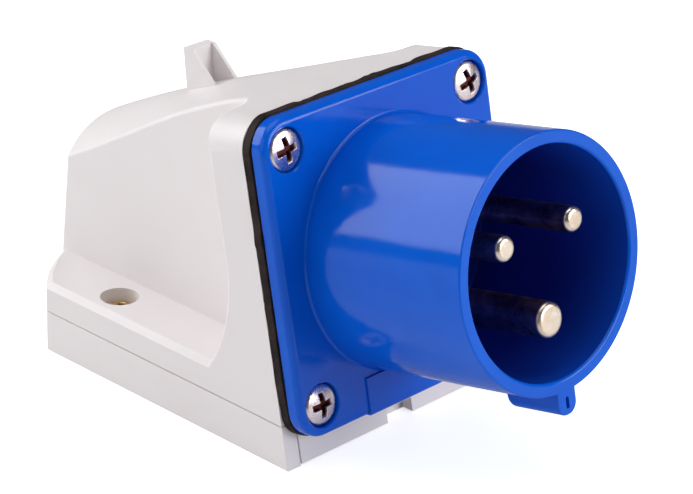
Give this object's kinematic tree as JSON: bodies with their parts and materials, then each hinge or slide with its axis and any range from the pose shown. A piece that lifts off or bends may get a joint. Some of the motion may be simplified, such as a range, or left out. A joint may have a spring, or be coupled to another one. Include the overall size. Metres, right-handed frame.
{
  "type": "industrial pin and sleeve inlet",
  "caption": "Surface mounting box with a leaning face that carries a round shrouded inlet with three pins, for a mating connector.",
  "frame": {"origin": "centre of the flat back of the base, on the mounting surface", "axes": "+Z away from the mounting surface, -Y towards the side that the mouth faces, X across; the plug axis leans 12.5 degrees up from -Y"},
  "size_m": [0.0622, 0.1272, 0.0698],
  "materials": {
    "box_plastic": "satin off-white moulding",
    "blue_plastic": "very glossy blue moulding",
    "carrier_plastic": "dull black moulding",
    "gasket_rubber": "black rubber sheet",
    "grommet_rubber": "black rubber",
    "pin_metal": "nickel plated brass, pale gold",
    "screw_steel": "bright nickel plated steel",
    "screw_brass": "plain brass"
  },
  "bodies": {
    "root": {"base": "box_plastic", "cover": "box_plastic", "flange_gasket": "gasket_rubber", "inlet_body": "blue_plastic", "contact_carrier": "carrier_plastic", "line_pin": "pin_metal", "neutral_pin": "pin_metal", "earth_pin": "pin_metal", "line_terminal_screw": "screw_steel", "neutral_terminal_screw": "screw_steel", "earth_terminal_screw": "screw_steel", "flange_screw_upper_left": "screw_steel", "flange_screw_upper_right": "screw_steel", "flange_screw_lower_left": "screw_steel", "flange_screw_lower_right": "screw_steel", "cover_screw_left": "screw_brass", "cover_screw_right": "screw_brass", "carrier_screw_left": "screw_steel", "carrier_screw_right": "screw_steel", "cable_grommet": "grommet_rubber"}
  },
  "joints": []
}
